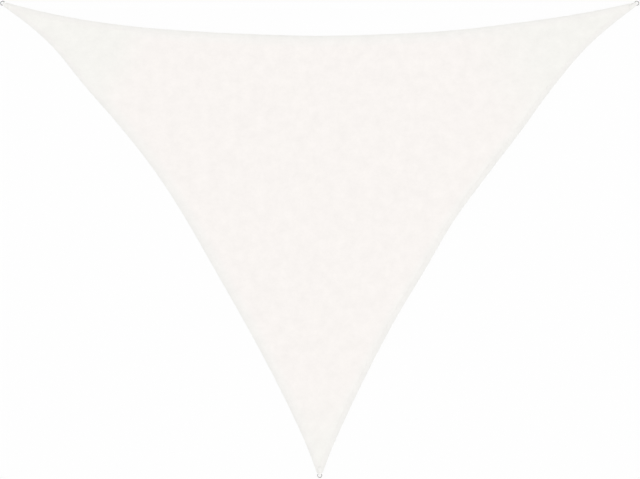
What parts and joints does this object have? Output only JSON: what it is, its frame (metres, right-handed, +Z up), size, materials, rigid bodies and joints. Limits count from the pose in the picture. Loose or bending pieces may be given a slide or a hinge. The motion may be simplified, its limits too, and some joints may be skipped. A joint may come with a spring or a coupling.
{
  "type": "triangular shade sail",
  "caption": "Triangular shade sail of knitted cloth with inward-bowed hemmed edges and a steel D-ring on a webbing loop at each corner, laid out flat.",
  "frame": {"origin": "middle of the whole sail with its rings, on the surface that it lies on", "axes": "+Z up from the surface, X along the long edge, -Y towards the third corner"},
  "size_m": [5.0368, 3.7599, 0.0089],
  "materials": {
    "cloth": "off-white knitted polyethylene",
    "webbing": "off-white woven webbing",
    "steel": "satin stainless"
  },
  "bodies": {
    "root": {"sail": "cloth", "loop_left": "webbing", "loop_right": "webbing", "loop_tip": "webbing", "ring_left": "steel", "ring_right": "steel", "ring_tip": "steel"}
  },
  "joints": []
}
